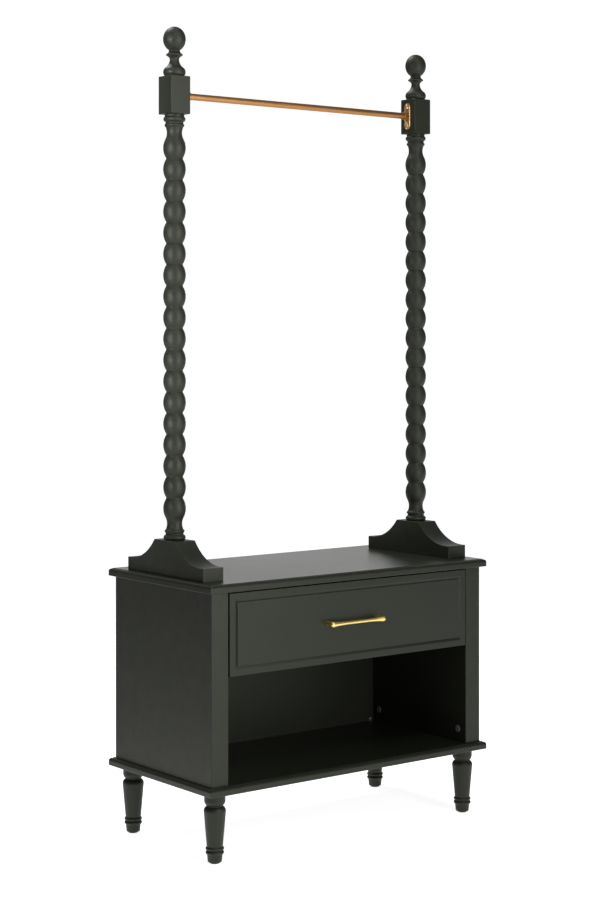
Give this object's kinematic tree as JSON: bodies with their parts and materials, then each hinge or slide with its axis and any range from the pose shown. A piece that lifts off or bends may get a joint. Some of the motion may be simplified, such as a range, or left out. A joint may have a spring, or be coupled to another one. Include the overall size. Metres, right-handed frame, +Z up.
{
  "type": "clothing rack with drawer",
  "caption": "Freestanding clothes rack: a low cabinet on turned legs with a bordered drawer over an open shelf, and bobbin-turned posts with ball finials carrying a hanging rod.",
  "frame": {"origin": "on the floor, under the middle of the whole object's box", "axes": "+Z up, +Y from the drawer front towards the back, +X to the right as seen from the front"},
  "size_m": [0.8, 0.4188, 1.8185],
  "materials": {
    "painted_wood": "dark grey satin paint",
    "drawer_board": "dark grey foil-faced board",
    "dowel_wood": "bare beech",
    "plastic_fittings": "dark grey matte",
    "gold_metal": "brushed gold",
    "zinc_steel": "zinc plated"
  },
  "bodies": {
    "cabinet": {"top_board": "painted_wood", "bottom_board": "painted_wood", "left_side_panel": "painted_wood", "right_side_panel": "painted_wood", "left_lining_panel": "painted_wood", "right_lining_panel": "painted_wood", "left_front_stile": "painted_wood", "right_front_stile": "painted_wood", "left_rear_stile": "painted_wood", "right_rear_stile": "painted_wood", "back_panel": "painted_wood", "back_panel_clips": "plastic_fittings", "drawer_divider": "drawer_board", "left_front_leg": "painted_wood", "right_front_leg": "painted_wood", "left_rear_leg": "painted_wood", "right_rear_leg": "painted_wood", "leg_glides": "plastic_fittings", "leg_bolts": "zinc_steel", "leg_inserts": "zinc_steel", "cam_locks": "zinc_steel", "cam_bolts": "zinc_steel", "cam_covers": "plastic_fittings", "dowels": "dowel_wood", "divider_dowels": "dowel_wood", "left_post_base": "painted_wood", "right_post_base": "painted_wood", "base_screws": "zinc_steel", "left_post": "painted_wood", "right_post": "painted_wood", "post_bolts": "zinc_steel", "post_inserts": "zinc_steel", "left_finial": "painted_wood", "right_finial": "painted_wood", "finial_dowel_screws": "zinc_steel", "hanging_rod": "gold_metal", "left_rod_bracket": "gold_metal", "right_rod_bracket": "gold_metal", "rod_bracket_screws": "gold_metal", "left_slide_cabinet_member": "zinc_steel", "right_slide_cabinet_member": "zinc_steel", "slide_cabinet_screws": "zinc_steel"},
    "slide_middles": {"left_slide_middle_member": "zinc_steel", "right_slide_middle_member": "zinc_steel"},
    "drawer": {"left_slide_drawer_member": "zinc_steel", "right_slide_drawer_member": "zinc_steel", "slide_drawer_screws": "zinc_steel", "drawer_front": "painted_wood", "drawer_inner_front": "drawer_board", "drawer_left_side": "drawer_board", "drawer_right_side": "drawer_board", "drawer_back": "drawer_board", "drawer_bottom": "drawer_board", "drawer_box_screws": "zinc_steel", "drawer_front_screws": "zinc_steel", "drawer_handle": "gold_metal", "handle_screws": "zinc_steel"}
  },
  "joints": [
    {"name": "drawer_slide", "type": "slide", "parent": "cabinet", "child": "drawer", "axis": [0, -1, 0], "range_m": [0, 0.29]},
    {"name": "slide_middle_travel", "type": "slide", "parent": "cabinet", "child": "slide_middles", "axis": [0, -1, 0], "range_m": [0, 0.145]}
  ],
  "couplings": [
    {"joint": "slide_middle_travel", "follows": "drawer_slide", "ratio": 0.5}
  ]
}
